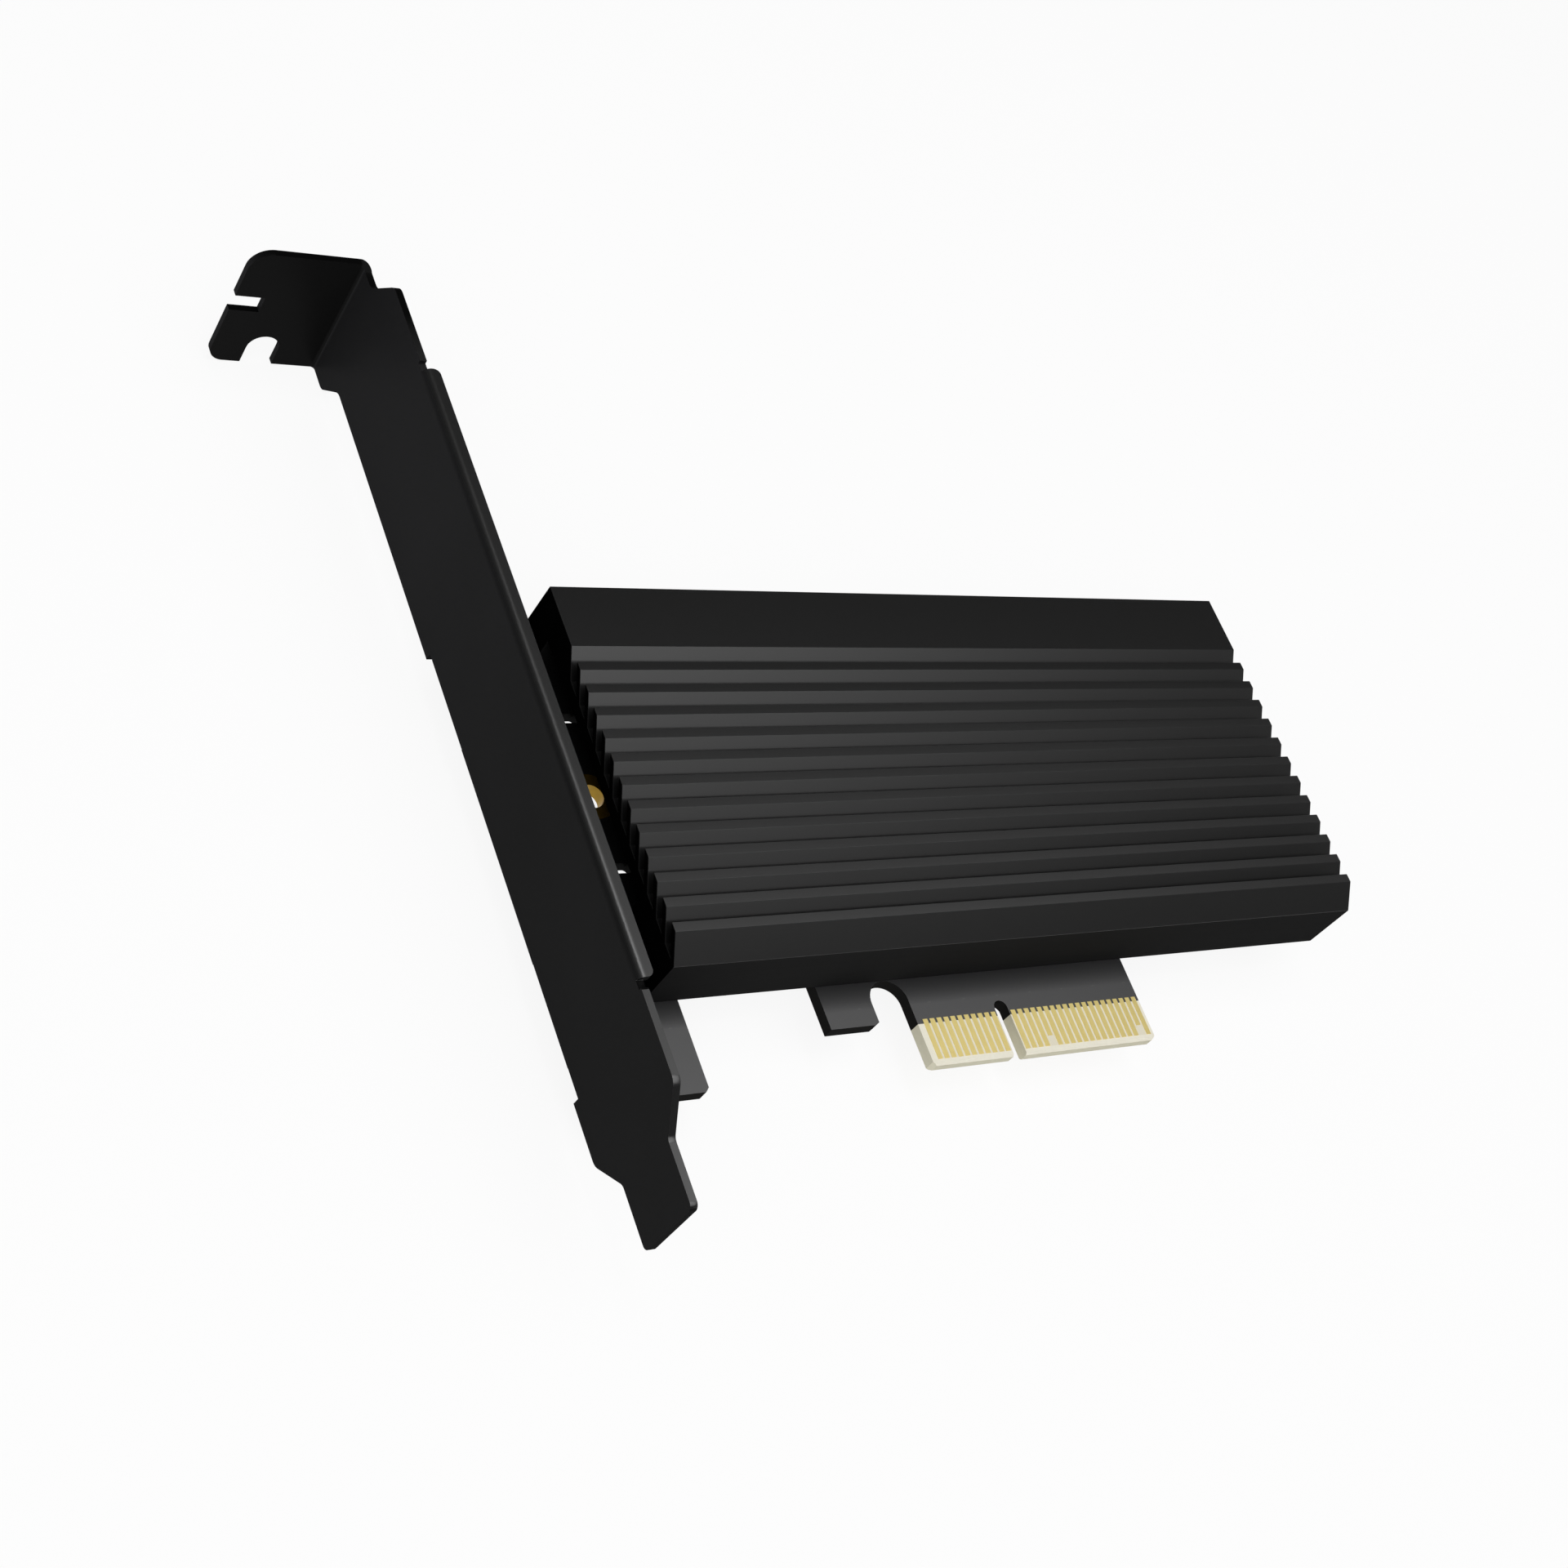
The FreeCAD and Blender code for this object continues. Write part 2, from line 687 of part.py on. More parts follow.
# Bulk capacitors: moulded bodies on folded leads
bulk = []
bulk_leads = []
length, width, high = bulk_size
for way in (-1, 1):
    x = socket_rear + bulk_from
    y = drive_y + way * (channel_y1 - drive_y - bulk_in)
    bulk.append(block(x - width / 2, x + width / 2, y - length / 2, y + length / 2, lead_thick, high))
    for end in (-1, 1):
        face_y = y + end * length / 2
        inner = face_y - end * bulk_lead_in
        outer = face_y + end * lead_thick
        x0 = x - bulk_lead_wide / 2
        x1 = x + bulk_lead_wide / 2
        foot = block(x0, x1, min(inner, outer), max(inner, outer), 0, lead_thick)
        riser = block(x0, x1, min(face_y, outer), max(face_y, outer), 0, high / 2)
        bulk_leads.append(foot.fuse(riser).removeSplitter())
save("bulk_capacitors", bulk)
save("bulk_capacitor_leads", bulk_leads)

# Voltage regulator with folded leads on two sides
length, width, high = regulator_size
x = socket_rear + regulator_from
y = drive_y + regulator_off
regulator = block(x - width / 2, x + width / 2, y - length / 2, y + length / 2, lead_thick, lead_thick + high)
regulator_leads = []
mid = lead_thick + high / 2
for k in range(lead_count):
    lead_y = y + (k - (lead_count - 1) / 2) * regulator_pitch
    low = lead_y - regulator_lead_wide / 2
    high_y = lead_y + regulator_lead_wide / 2
    for way in (-1, 1):
        edge = x + way * width / 2
        bend = edge + way * (regulator_reach - regulator_foot)
        path = [(edge, mid), (bend, mid), (bend, lead_thick), (edge + way * regulator_reach, lead_thick)]
        regulator_leads.append(strip(path, -way * lead_thick, low, high_y))
save("regulator_body", [regulator])
save("regulator_leads", regulator_leads)

# Choke: a block with soft corners on two end plates
length, width, high = choke_size
x = socket_rear + choke_from
y = drive_y - choke_off
choke_outline = [
    (x - width / 2, y - length / 2, choke_corner),
    (x + width / 2, y - length / 2, choke_corner),
    (x + width / 2, y + length / 2, choke_corner),
    (x - width / 2, y + length / 2, choke_corner),
]
save("choke_body", [prism("z", choke_outline, lead_thick, high)])
choke_leads = []
for way in (-1, 1):
    face_x = x + way * width / 2
    inner = face_x - way * bulk_lead_in
    outer = face_x + way * lead_thick
    y0 = y - choke_lead_wide / 2
    y1 = y + choke_lead_wide / 2
    foot = block(min(inner, outer), max(inner, outer), y0, y1, 0, lead_thick)
    riser = block(min(face_x, outer), max(face_x, outer), y0, y1, 0, high / 2)
    choke_leads.append(foot.fuse(riser).removeSplitter())
save("choke_leads", choke_leads)
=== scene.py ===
import bmesh
import bpy
import numpy as np
from mathutils import Matrix, Vector


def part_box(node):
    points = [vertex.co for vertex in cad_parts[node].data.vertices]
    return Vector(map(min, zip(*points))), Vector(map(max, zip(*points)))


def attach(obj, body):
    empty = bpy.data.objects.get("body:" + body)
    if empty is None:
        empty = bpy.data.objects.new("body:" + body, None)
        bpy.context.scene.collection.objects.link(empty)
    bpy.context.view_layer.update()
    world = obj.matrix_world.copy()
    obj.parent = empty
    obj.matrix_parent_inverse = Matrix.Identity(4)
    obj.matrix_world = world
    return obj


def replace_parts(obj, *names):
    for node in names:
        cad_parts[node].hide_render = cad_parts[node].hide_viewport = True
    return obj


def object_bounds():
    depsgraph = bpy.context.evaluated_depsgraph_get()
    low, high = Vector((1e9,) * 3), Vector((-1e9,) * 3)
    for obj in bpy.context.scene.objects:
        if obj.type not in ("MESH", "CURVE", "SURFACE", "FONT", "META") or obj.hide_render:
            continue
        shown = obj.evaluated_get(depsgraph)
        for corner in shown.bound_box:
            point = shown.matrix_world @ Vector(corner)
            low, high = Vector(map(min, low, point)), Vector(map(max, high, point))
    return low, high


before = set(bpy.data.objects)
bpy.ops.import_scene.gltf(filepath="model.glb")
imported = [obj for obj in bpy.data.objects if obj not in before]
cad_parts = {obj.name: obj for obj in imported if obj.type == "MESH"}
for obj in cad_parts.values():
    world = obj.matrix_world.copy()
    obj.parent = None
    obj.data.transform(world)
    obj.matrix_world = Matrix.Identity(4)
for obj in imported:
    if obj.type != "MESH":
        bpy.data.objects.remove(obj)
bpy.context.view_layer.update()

MM = 0.001              # a millimetre in metres
LEVEL = 0.7             # a surface faces along an axis where its direction has this share of it

# Edges of the folded sheet and of the extrusion
EDGE_WIDTH = 0.06       # rounding of a sharp edge, in millimetres
SHARP = 50              # an edge is sharp over this many degrees
CREASE_SHARE = 0.125    # rounding of a slight crease, as a share of a sharp edge's
DOUBLED = 2e-6          # points closer than this, in metres, are one point
FLAT = 0.01             # faces closer than this angle, in radians, are one face

# Screws
TURN_STEPS = 96         # points in one turn
CROWN_RINGS = 34
RIM_RINGS = 5
CROWN_FALL = 0.42       # fall of the crown out to the rim, as a share of the head's height
THREAD_PITCH = 0.5
THREAD_STEPS = 10       # rows of points in one pitch

# Floor and world
FLOOR_GAP = 0.0002      # floor below the part, in metres
FLOOR_SHADE = 0.86
BRIGHTNESS = 0.90       # floor as the camera sees it
WORLD_LEVEL = 0.03

# Camera: its directions, its place in metres, its sensor in millimetres, and pixels of the photo
CAMERA_RIGHT = (0.81405, -0.33329, 0.47564)
CAMERA_UP = (0.02755, 0.84019, 0.54158)
CAMERA_PLACE = (-0.12705, -0.08519, 0.19885)
SENSOR = 36.0
FOCAL_PIXELS = 3007.09
FRAME_PIXELS = 1920


def lin(shade):
    """Linear value of a screen shade from 0 to 255."""
    s = shade / 255
    return s / 12.92 if s <= 0.04045 else ((s + 0.055) / 1.055) ** 2.4


def tone(red, green, blue):
    """Linear colour of three screen shades."""
    return (lin(red), lin(green), lin(blue), 1.0)


def grey(shade):
    """Linear colour of one neutral screen shade."""
    return tone(shade, shade, shade)


class Wire:
    """A socket in a finish. Arithmetic on it adds Math nodes."""

    def __init__(self, finish, socket):
        self.finish = finish
        self.socket = socket

    def math(self, operation, *others, clamp=False):
        """A Math node with this value first and the others after it."""
        inputs = {k + 1: v for k, v in enumerate(others)}
        settings = {"operation": operation, "use_clamp": clamp}
        return self.finish.node("ShaderNodeMath", settings, {0: self, **inputs})

    def __add__(self, other):
        return self.math("ADD", other)

    def __sub__(self, other):
        return self.math("SUBTRACT", other)

    def __mul__(self, other):
        return self.math("MULTIPLY", other)

    def __truediv__(self, other):
        return self.math("DIVIDE", other)

    def __pow__(self, other):
        return self.math("POWER", other)

    def __abs__(self):
        return self.math("ABSOLUTE")

    def __rsub__(self, other):
        return (self * -1) + other

    __radd__ = __add__

    def most(self, other):
        """The larger of two values."""
        return self.math("MAXIMUM", other)

    def least(self, other):
        """The smaller of two values."""
        return self.math("MINIMUM", other)

    def part(self):
        """What is left over a whole number."""
        return self.math("FRACT")

    def over(self, edge, soft=0.0):
        """1 where the value is over the edge, with a ramp as wide as soft."""
        if soft == 0.0:
            return self.math("GREATER_THAN", edge)
        return ((self - edge) / soft + 0.5).math("ADD", 0.0, clamp=True)

    def under(self, edge, soft=0.0):
        """1 where the value is under the edge."""
        return 1 - self.over(edge, soft)

    def between(self, low, high, soft=0.0):
        """1 from low to high."""
        return self.over(low, soft) * self.under(high, soft)


class Finish:
    """A material with one Principled shader."""

    def __init__(self, name, **constants):
        self.material = bpy.data.materials.new(name)
        self.material.use_nodes = True
        self.tree = self.material.node_tree
        self.tree.nodes.clear()
        self.shader = self.tree.nodes.new("ShaderNodeBsdfPrincipled")
        output = self.tree.nodes.new("ShaderNodeOutputMaterial")
        self.tree.links.new(self.shader.outputs[0], output.inputs[0])
        self.place = self.node("ShaderNodeTexCoord", out="Object")
        self.set(**constants)

    def feed(self, socket, value):
        """Links a wire to a socket, or sets the socket to a constant."""
        if isinstance(value, Wire):
            self.tree.links.new(value.socket, socket)
        else:
            socket.default_value = value

    def node(self, kind, settings=None, inputs=None, out=0):
        """Adds a node, its settings first and then its inputs, and gives one output."""
        made = self.tree.nodes.new(kind)
        for key, value in (settings or {}).items():
            setattr(made, key, value)
        for key, value in (inputs or {}).items():
            self.feed(made.inputs[key], value)
        return Wire(self, made.outputs[out])

    def set(self, **values):
        """Sets shader inputs by name, with spaces written as underscores."""
        for key, value in values.items():
            self.feed(self.shader.inputs[key.replace("_", " ")], value)
        return self

    def split(self, vector):
        """The three values of a vector."""
        return [self.node("ShaderNodeSeparateXYZ", None, {0: vector}, out=k) for k in range(3)]

    def axes(self):
        """x, y and z of the place on the surface, in millimetres."""
        return [value * 1000 for value in self.split(self.place)]

    def facing(self):
        """x, y and z of the surface's own direction."""
        return self.split(self.node("ShaderNodeNewGeometry", out="True Normal"))

    def grain(self, size, stretch=(1, 1, 1), detail=2.0):
        """Noise from 0 to 1 with spots of the given size in millimetres, stretched per axis."""
        scale = tuple(1 / (size * MM * s) for s in stretch)
        place = self.node("ShaderNodeMapping", None, {"Vector": self.place, "Scale": scale})
        inputs = {"Vector": place, "Scale": 1.0, "Detail": detail, "Roughness": 0.55}
        return self.node("ShaderNodeTexNoise", None, inputs)

    def blend(self, share, first, second):
        """Colour between first and second by share."""
        settings = {"data_type": "RGBA"}
        inputs = {0: share, 6: first, 7: second}
        return self.node("ShaderNodeMix", settings, inputs, out=2)

    def bump(self, height, depth):
        """Normal from a height from 0 to 1 that stands for depth in millimetres."""
        inputs = {"Height": height, "Distance": depth * MM, "Strength": 1.0}
        return self.set(Normal=self.node("ShaderNodeBump", None, inputs))


def powder_coat():
    """Satin black coat on the bracket: fine orange peel, burnished on the lip and along the folds.

    Some of it is fitted to the photo's shades under these lamps and isn't a known finish: the face
    is painted paler towards the folded top and darker towards the bottom as painted light, faces
    along y and upward faces are painted darker as painted shade, and the fold relief below the lip
    and the neck have next to no coat.
    """
    f = Finish("powder_coat", Specular_IOR_Level=0.0, Coat_Roughness=0.32, Coat_IOR=1.9)
    middle, fade = 52.0, 50.0
    relief_low, relief_high = 5.0, 6.25
    neck, neck_soft = 89.0, 6.0
    peel = f.grain(0.35)
    cloud = f.grain(14.0)
    speck = f.grain(0.12, detail=1.0)
    ways = f.facing()
    lift = ways[2].most(0.0)
    y = f.axes()[1]
    # Painted light: the face is painted paler towards the folded top and darker towards the bottom.
    painted_light_by_height = y.over(middle, fade) * 0.8 - 0.25
    coat = f.blend(cloud * 0.6 + speck * 0.3 + painted_light_by_height, grey(30), tone(38, 38, 39))
    # Painted shade: faces along y are painted darker than the rest of the coat.
    coat = f.blend(abs(ways[1]).over(LEVEL), coat, grey(22))
    # Painted shade: upward faces are painted darker, down to shade 10.
    f.set(Base_Color=f.blend(lift, coat, grey(10)))
    f.set(Roughness=0.46 + cloud * 0.10 + speck * 0.06)
    dull = y.between(relief_low, relief_high).most(y.over(neck, neck_soft))
    f.set(Coat_Weight=(lift.over(0.68, 0.25) * (1 - dull)).most(0.03))
    return f.bump(peel * 0.8 + speck * 0.2, 0.008)


def anodised():
    """Black anodised extrusion: drawn lines along x, polished fins, matt sides and cut ends.

    The shades are fitted to the photo under these lamps and aren't a known finish: dark fins with a
    coat, dark cut ends, and the other faces, sides and channel walls, painted paler without a coat
    as painted light and shade, and less coat on the flats near the plain band.
    """
    f = Finish("anodised", Specular_IOR_Level=0.0, Coat_Roughness=0.31, Coat_IOR=1.9)
    lines = f.grain(0.16, (220, 1, 1))
    etch = f.grain(0.10)
    cloud = f.grain(22.0, (3, 1, 1))
    ways = f.facing()
    cut = abs(ways[0])
    fins = ways[2].over(0.3) * cut.under(0.35)
    streaks = cloud * 0.5 + lines * 0.3
    # Painted light and shade: sides and channel walls are painted paler than the fins and cut ends
    # of the same black anodising.
    wall = f.blend(streaks, grey(33), grey(43))
    dark = f.blend(streaks, grey(5), grey(9))
    f.set(Base_Color=f.blend(fins.most(cut.over(LEVEL)), wall, dark))
    f.set(Roughness=0.44 + lines * 0.10 + etch * 0.06)
    lo, hi = (v * 1000 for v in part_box("heatsink"))
    deep = hi.y - lo.y
    high = f.axes()[1].over(lo.y + 0.68 * deep, 0.20 * deep)
    f.set(Coat_Weight=fins * (0.98 - high * ways[2].over(0.9) * 0.24))
    return f.bump(lines * 0.6 + etch * 0.4, 0.004)


def traces(x, y, first, last, low, high):
    """Pairs of traces that start at low, lean over by 45 degrees and go on to high.

    The first and last pair start at those places on x.
    """
    pitch, half_gap, half_line, soft = 2.0, 0.22, 0.09, 0.04
    bend, run = 14.0, 18.0
    straight = x - (y - bend).most(0.0).least(run)
    across = (straight / pitch).part() * pitch - pitch / 2
    line = abs(abs(across) - half_gap).under(half_line, soft)
    return line * straight.between(first, last) * y.between(low, high)


def vias(x, y):
    """Rings of small vias on a square grid."""
    step, hole, ring, soft = 5.0, 0.18, 0.36, 0.04
    off = [(place / step).part() * step - step / 2 for place in (x, y)]
    return ((off[0] * off[0] + off[1] * off[1]) ** 0.5).between(hole, ring, soft)


def solder_mask():
    """Black mask over copper, with the bare laminate round the contacts and along cut edges.

    The traces run on the solder side, from the contacts to the socket, between rows of vias. They
    are guessed. The laminate between the contacts is painted darker as painted shade, fitted to the
    photo's shades.
    """
    f = Finish("solder_mask", Specular_IOR_Level=0.0, Coat_Roughness=0.35, Coat_IOR=2.05)
    border, bare_high, clear, middle = 2.0, 4.5, 2.0, -0.8
    x, y, z = f.axes()
    lift = f.facing()[2]
    face = abs(lift).over(LEVEL)
    lo, hi = (v * 1000 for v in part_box("component_contacts"))
    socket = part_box("socket_housing")[0] * 1000
    block = x.between(lo.x - border, hi.x + border) * y.under(lo.y + bare_high)
    rows = x.between(lo.x, hi.x) * y.between(lo.y, hi.y)
    cloth = f.grain(0.5, (1, 6, 1)) * 0.5 + f.grain(0.5, (6, 1, 1)) * 0.5
    speck = f.grain(0.2)
    first, last, end = lo.x + 14.0, hi.x - 4.0, socket.y + 14.0
    routed = traces(x, y, first, last, hi.y + clear, end)
    drilled = vias(x, y) * y.over(hi.y + clear)
    copper = (routed * z.under(middle)).most(drilled) * (1 - block)
    mask = f.blend(speck, tone(22, 22, 23), tone(30, 30, 31))
    mask = f.blend(copper * 0.8, mask, grey(62))
    edge = f.blend(speck, grey(8), tone(20, 19, 17))
    bare = f.blend(cloth, tone(230, 224, 205), tone(242, 239, 224))
    # Painted shade: the laminate between the contacts is painted darker.
    bare = f.blend(rows * 0.3, bare, tone(205, 193, 158))
    side = f.blend(cloth, tone(216, 211, 188), tone(232, 228, 206))
    black = f.blend(face, edge, mask)
    pale = f.blend(face, side, bare)
    f.set(Base_Color=f.blend(block, black, pale))
    f.set(Roughness=0.42 + speck * 0.08 + block * 0.12)
    f.set(Coat_Weight=face * (1 - block) * (lift.over(0.0) * 0.66 + 0.3) + 0.04)
    return f.bump(cloth * 0.2 + copper * 0.8, 0.02)


def plated(name, colour, dark, rough, metal=1.0):
    """Plated metal with slow changes of colour and a fine brushed grain."""
    f = Finish(name, Metallic=metal)
    cloud = f.grain(1.6)
    fine = f.grain(0.12, (1, 5, 1))
    f.set(Base_Color=f.blend(cloud * 0.7 + fine * 0.3, dark, colour))
    f.set(Roughness=rough + fine * 0.12)
    return f.bump(fine, 0.003)


def moulded(name, shade, rough, size=0.18):
    """Moulded plastic or fired ceramic: even colour with a fine grain."""
    f = Finish(name, Specular_IOR_Level=0.4)
    fine = f.grain(size)
    cloud = f.grain(3.0)
    low = tuple(c * 0.82 for c in shade[:3]) + (1.0,)
    f.set(Base_Color=f.blend(cloud * 0.6 + fine * 0.4, low, shade))
    f.set(Roughness=rough + fine * 0.15)
    return f.bump(fine, 0.006)


# The barrel is the same plating as the contacts, with a darker tone fitted to the photo: painted
# shade, as the hole lies in the heatsink's shadow
FINISHES = {
    "bracket": powder_coat(),
    "heatsink": anodised(),
    "circuit_board": solder_mask(),
    "gold": plated("gold", tone(246, 226, 150), tone(234, 212, 132), 0.26, 0.6),
    # Painted shade: a darker copy of the contacts' gold for the hole in the heatsink's shadow.
    "barrel": plated("hole_gold", tone(184, 148, 50), tone(132, 102, 24), 0.28, 0.75),
    "tin": plated("tin", tone(205, 205, 202), tone(170, 170, 168), 0.32),
    "zinc": plated("dark_zinc", tone(74, 74, 76), tone(52, 52, 54), 0.34),
    "pad": moulded("silicone_pad", tone(128, 133, 146), 0.75, 0.4),
    "socket": moulded("socket_moulding", tone(30, 30, 31), 0.5),
    "ceramic": moulded("fired_ceramic", tone(146, 106, 72), 0.5, 0.1),
    "film": moulded("resistor_film", tone(26, 26, 27), 0.3, 0.1),
    "epoxy": moulded("yellow_epoxy", tone(214, 160, 62), 0.5),
    "chip": moulded("regulator_epoxy", tone(34, 34, 35), 0.6, 0.12),
    "ferrite": moulded("pressed_powder", tone(70, 70, 72), 0.7, 0.14),
}
WEARS = {
    "bracket": "bracket",
    "heatsink": "heatsink",
    "circuit_board": "circuit_board",
    "component_contacts": "gold",
    "solder_contacts": "gold",
    "drive_hole_plating": "barrel",
    "socket_upper_pins": "gold",
    "socket_lower_pins": "gold",
    "bracket_screws": "zinc",
    "heatsink_screws": "zinc",
    "thermal_pad": "pad",
    "socket_housing": "socket",
    "socket_anchors": "tin",
    "coupling_capacitors": "ceramic",
    "filter_capacitors": "ceramic",
    "resistors": "film",
    "chip_ends": "tin",
    "bulk_capacitors": "epoxy",
    "bulk_capacitor_leads": "tin",
    "regulator_body": "chip",
    "regulator_leads": "tin",
    "choke_body": "ferrite",
    "choke_leads": "tin",
}


def put(name, data):
    """New object in the scene."""
    thing = bpy.data.objects.new(name, data)
    bpy.context.scene.collection.objects.link(thing)
    return thing


def dress(thing, finish):
    """Puts one finish on a whole piece."""
    thing.data.materials.clear()
    thing.data.materials.append(finish.material)


for node, wear in WEARS.items():
    dress(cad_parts[node], FINISHES[wear])


def eased(node, crease):
    """Copy of a node with its doubled points joined and its sharp edges slightly rounded.

    Edges over crease degrees that aren't sharp are rounded less, and flatter ones are only shaded
    smooth.
    """
    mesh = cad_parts[node].data.copy()
    mesh.name = node + "_eased"
    shape = bmesh.new()
    shape.from_mesh(mesh)
    bmesh.ops.remove_doubles(shape, verts=shape.verts, dist=DOUBLED)
    bmesh.ops.dissolve_limit(shape, angle_limit=FLAT, verts=shape.verts, edges=shape.edges)
    for part in shape.faces:
        part.smooth = True
    share = shape.edges.layers.float.new("bevel_weight_edge")
    for edge in shape.edges:
        bend = np.degrees(edge.calc_face_angle(0.0))
        edge[share] = 1.0 if bend > SHARP else CREASE_SHARE * (bend > crease)
    shape.to_mesh(mesh)
    shape.free()
    if "custom_normal" in mesh.attributes:
        mesh.attributes.remove(mesh.attributes["custom_normal"])
    piece = put(node + "_eased", mesh)
    bevel = piece.modifiers.new("edges", "BEVEL")
    bevel.width = EDGE_WIDTH * MM
    bevel.segments = 2
    bevel.limit_method = "WEIGHT"
    bevel.use_clamp_overlap = True
    flats = piece.modifiers.new("flats", "WEIGHTED_NORMAL")
    flats.keep_sharp = True
    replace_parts(piece, node)
    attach(piece, "root")


eased("bracket", 50)
eased("heatsink", 25)


def rings(radius, angle, level):
    """Grid of points row by row, at each row's radius and level and each column's angle."""
    return np.stack([radius * np.cos(angle), radius * np.sin(angle), level + 0 * angle], axis=-1)


def net(grid, start=0):
    """Faces between the rows of a grid. A row closes on itself, and start is the first point."""
    rows, turns = grid.shape[:2]
    here = np.arange(turns) + start
    on = np.roll(here, -1)
    down = np.arange(rows - 1)[:, None] * turns
    corners = [here + down, on + down, on + down + turns, here + down + turns]
    return np.stack(corners, axis=-1).reshape(-1, 4)


def skin(name, grids, finish):
    """Piece from grids of points. The first and last rows of a grid are poles."""
    starts = np.cumsum([0] + [grid[..., 0].size for grid in grids])
    spots = np.concatenate([grid.reshape(-1, 3) for grid in grids])
    faces = np.concatenate([net(grid, start) for grid, start in zip(grids, starts)])
    mesh = bpy.data.meshes.new(name)
    mesh.from_pydata((spots * MM).tolist(), [], faces.tolist())
    shape = bmesh.new()
    shape.from_mesh(mesh)
    bmesh.ops.remove_doubles(shape, verts=shape.verts, dist=1e-7)
    bmesh.ops.recalc_face_normals(shape, faces=shape.faces)
    shape.to_mesh(mesh)
    shape.free()
    mesh.shade_smooth()
    piece = put(name, mesh)
    dress(piece, FINISHES[finish])
    edges = piece.modifiers.new("flats", "WEIGHTED_NORMAL")
    edges.weight = 70
    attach(piece, "root")
    return piece


def recess(x, y, reach, width, deep):
    """Depth of a cross recess: two crossed slots that grow shallow outwards, with sloped walls."""
    wall = 0.3 * width
    one = np.maximum(abs(x) - reach, abs(y) - width / 2)
    two = np.maximum(abs(y) - reach, abs(x) - width / 2)
    inside = np.clip(-np.minimum(one, two) / wall, 0, 1)
    return inside * deep * (1 - 0.62 * np.hypot(x, y) / reach)


def screw(x, y, seat, way, head, high, core, tail):
    """Grid of a pan head screw along z.

    Head: z falls from the crown as the fourth power of the radius, less the cross recess, and the
    rim drops to the seat. Shank: the radius rises over the core by a ridge of |sin| shape that
    climbs one pitch in each turn, and it tapers over the last pitch.
    """
    angle = np.linspace(0, 2 * np.pi, TURN_STEPS, endpoint=False)[None, :]
    r = (np.linspace(0, 1, CROWN_RINGS) * head)[:, None]
    crown = high * (1 - CROWN_FALL * (r / head) ** 4)
    cross = recess(r * np.cos(angle), r * np.sin(angle), head * 0.58, head * 0.30, high * 0.62)
    drop = np.linspace((1 - CROWN_FALL) * high, 0.0, RIM_RINGS)[1:, None]
    bulge = head * (1 - 0.02 * (drop / high) ** 2)
    steps = np.linspace(0, tail, int(tail / THREAD_PITCH * THREAD_STEPS) + 2)[:, None]
    climb = np.abs(np.sin(np.pi * (steps / THREAD_PITCH - angle / (2 * np.pi))))
    end = np.clip((tail - steps) / THREAD_PITCH, 0, 1)
    wide = core * (0.93 + 0.17 * climb) * (0.78 + 0.22 * end)
    grid = np.concatenate([
        rings(r, angle, crown - cross),
        rings(bulge, angle, drop),
        rings(wide, angle, -steps),
        rings(0.0, angle, -tail),
    ])
    return grid * np.array([1, way, way]) + np.array([x, y, seat])


def screws(node, way, head, high, core):
    """All screws of one node, one near each corner of its box."""
    low, top = (v * 1000 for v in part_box(node))
    xs = sorted({round(v, 3) for v in (low.x + head, top.x - head)})
    ys = sorted({round(v, 3) for v in (low.y + head, top.y - head)})
    seat = top.z - high if way > 0 else low.z + high
    tail = seat - low.z if way > 0 else top.z - seat
    grids = [screw(x, y, seat, way, head, high, core, tail) for x in xs for y in ys]
    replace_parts(skin(node + "_threaded", grids, "zinc"), node)


screws("bracket_screws", 1, 2.80, 2.00, 1.25)
screws("heatsink_screws", -1, 1.90, 1.30, 0.80)


def cove(reach, bend, rise):
    """Round floor whose rim turns up.

    It is flat out to reach, turns up along a quarter circle of radius bend, and goes up by rise.
    """
    turn = np.linspace(0, np.pi / 2, 13)
    away = np.concatenate([[0.0, 1.0], reach + bend * np.sin(turn), [reach + bend]])
    lift = np.concatenate([[0.0, 0.0], bend * (1 - np.cos(turn)), [bend + rise]])
    angle = np.linspace(0, 2 * np.pi, 96, endpoint=False)
    return rings(away[:, None], angle, lift[:, None])


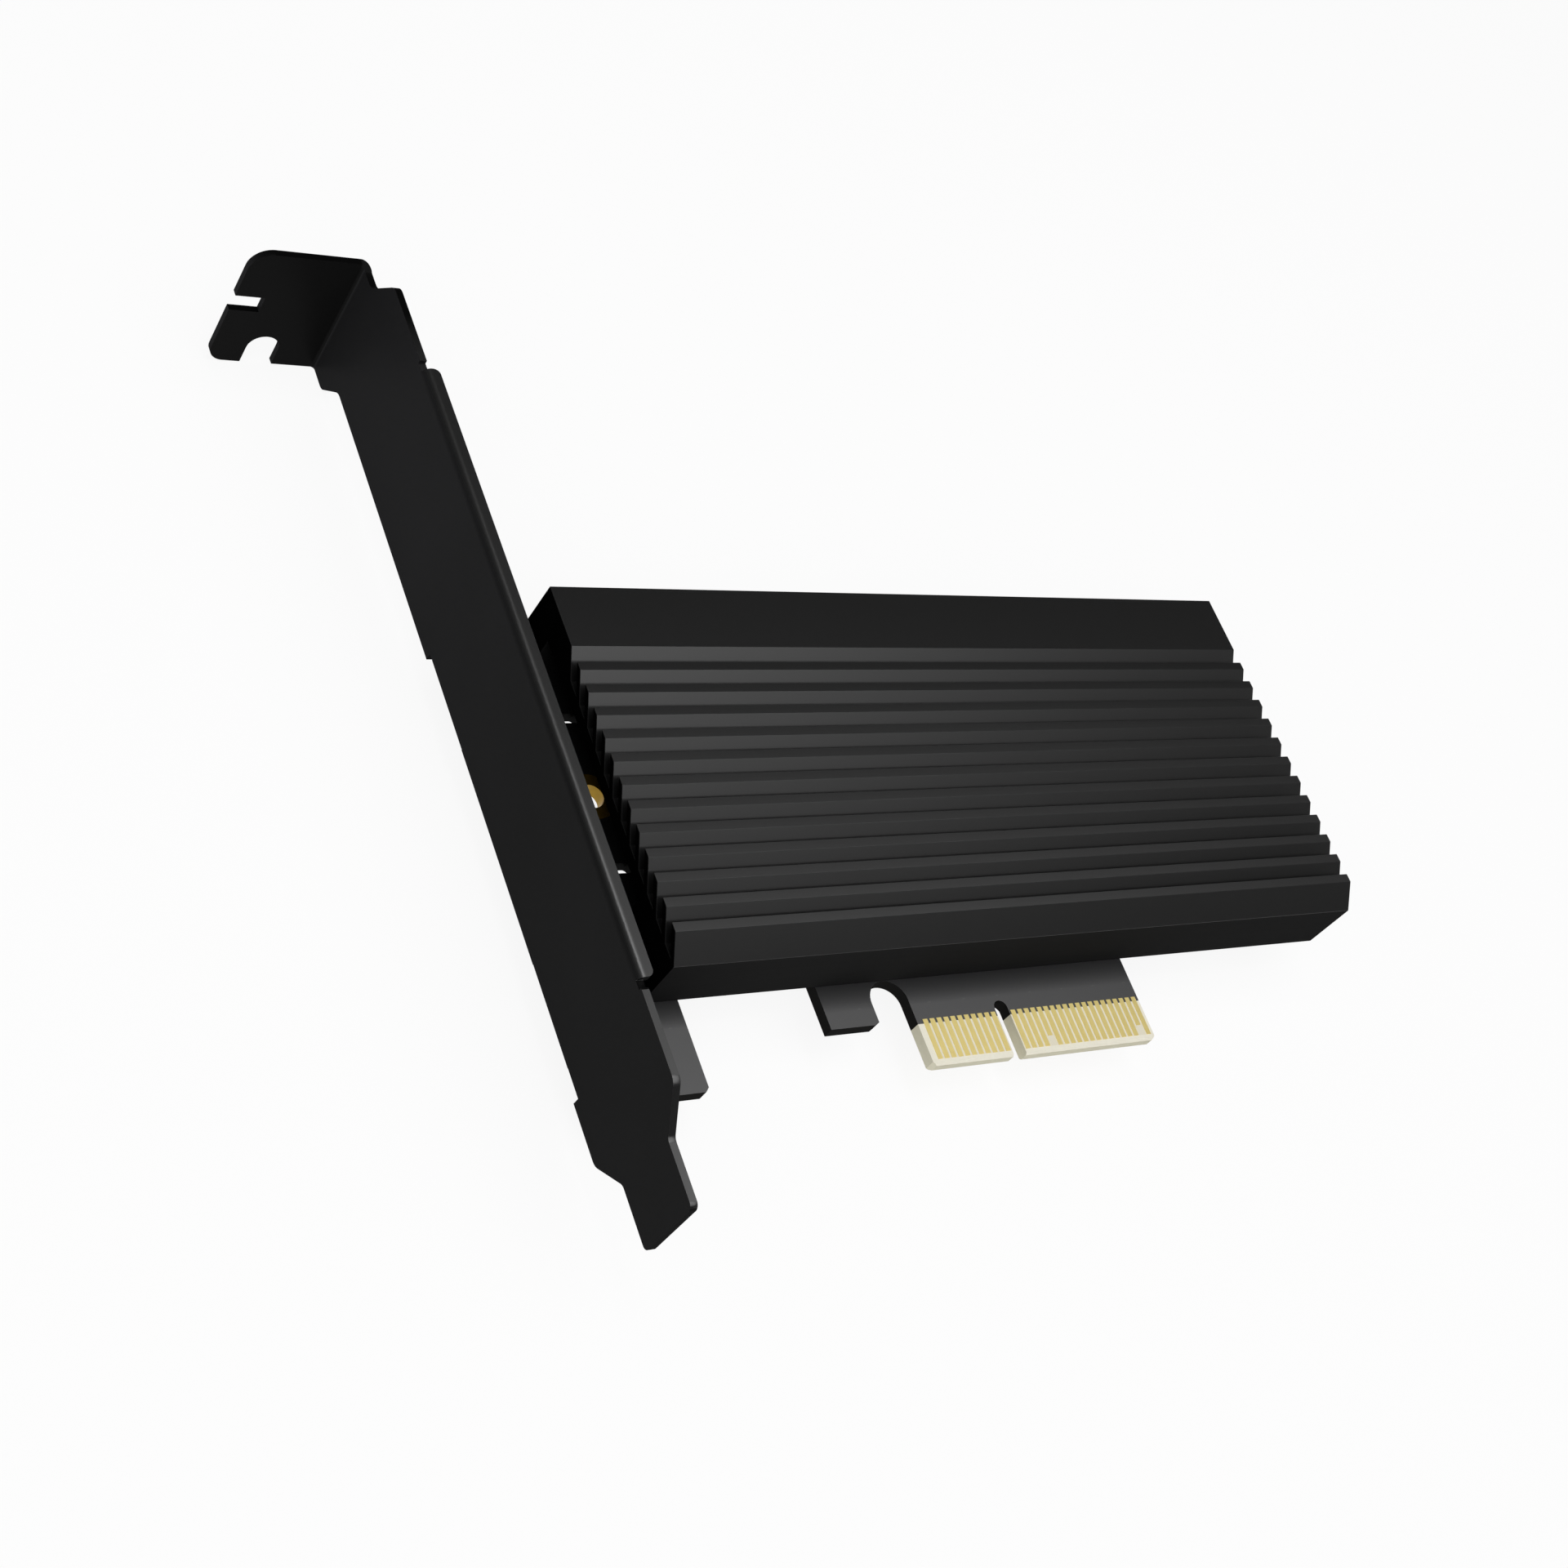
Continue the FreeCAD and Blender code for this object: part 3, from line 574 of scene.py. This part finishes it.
def pale_floor():
    """White to the camera and in reflections, and a matt pale surface to all other light."""
    pale = bpy.data.materials.new("pale_floor")
    pale.use_nodes = True
    tree = pale.node_tree
    tree.nodes.clear()

    def add(kind, *sources, **settings):
        made = tree.nodes.new(kind)
        for key, value in settings.items():
            setattr(made, key, value)
        for socket, source in zip(made.inputs, sources):
            tree.links.new(source, socket)
        return made

    path = add("ShaderNodeLightPath")
    seen = path.outputs["Is Camera Ray"]
    for ray in ("Is Glossy Ray", "Is Transmission Ray"):
        both = add("ShaderNodeMath", seen, path.outputs[ray], operation="ADD", use_clamp=True)
        seen = both.outputs[0]
    share = add("ShaderNodeMath", seen, operation="MULTIPLY")
    share.inputs[1].default_value = BRIGHTNESS
    matt = add("ShaderNodeBsdfDiffuse")
    matt.inputs["Color"].default_value = (FLOOR_SHADE, FLOOR_SHADE, FLOOR_SHADE, 1)
    glow = add("ShaderNodeEmission")
    mixer = add("ShaderNodeMixShader", share.outputs[0], matt.outputs[0], glow.outputs[0])
    add("ShaderNodeOutputMaterial", mixer.outputs[0])
    return pale


grid = cove(3.0, 0.3, 0.1)
grid[..., 2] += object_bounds()[0].z - FLOOR_GAP
mesh = bpy.data.meshes.new("floor")
mesh.from_pydata(grid.reshape(-1, 3).tolist(), [], net(grid)[:, [0, 3, 2, 1]].tolist())
mesh.shade_smooth()
mesh.materials.append(pale_floor())
floor = put("floor", mesh)


def lamp(name, at, aim, size, watts):
    """Soft lamp at a place in metres that points at another. Its size is (x, y) across."""
    light = bpy.data.lights.new(name, "AREA")
    light.shape = "RECTANGLE"
    light.size, light.size_y = size
    light.energy = watts
    thing = put(name, light)
    thing.location = at
    thing.rotation_mode = "QUATERNION"
    thing.rotation_quaternion = (Vector(aim) - Vector(at)).to_track_quat("-Z", "Y")


lamp("soft_box", (0.4685, -0.178, 0.80), (0.4685, -0.178, 0.0), (0.777, 1.063), 3.9)
lamp("fold_light", (-0.03, 0.127, 0.80), (-0.03, 0.127, 0.0), (0.22, 0.453), 1.6)
lamp("front_fill", (-0.42, -0.38, 0.66), (0.05, 0.04, 0.0), (0.8, 0.8), 5.0)

world = bpy.data.worlds.new("room")
world.use_nodes = True
world.node_tree.nodes["Background"].inputs[0].default_value = (1, 1, 1, 1)
world.node_tree.nodes["Background"].inputs[1].default_value = WORLD_LEVEL
bpy.context.scene.world = world
bpy.context.scene.view_settings.view_transform = "Standard"

right = Vector(CAMERA_RIGHT).normalized()
back = right.cross(Vector(CAMERA_UP)).normalized()
turned = Matrix((right, back.cross(right), back)).transposed().to_4x4()
view = bpy.data.cameras.new("camera")
view.sensor_width = SENSOR
view.lens = SENSOR * FOCAL_PIXELS / FRAME_PIXELS
view.clip_start = 0.01
camera = put("camera", view)
camera.matrix_world = Matrix.Translation(CAMERA_PLACE) @ turned
bpy.context.scene.camera = camera
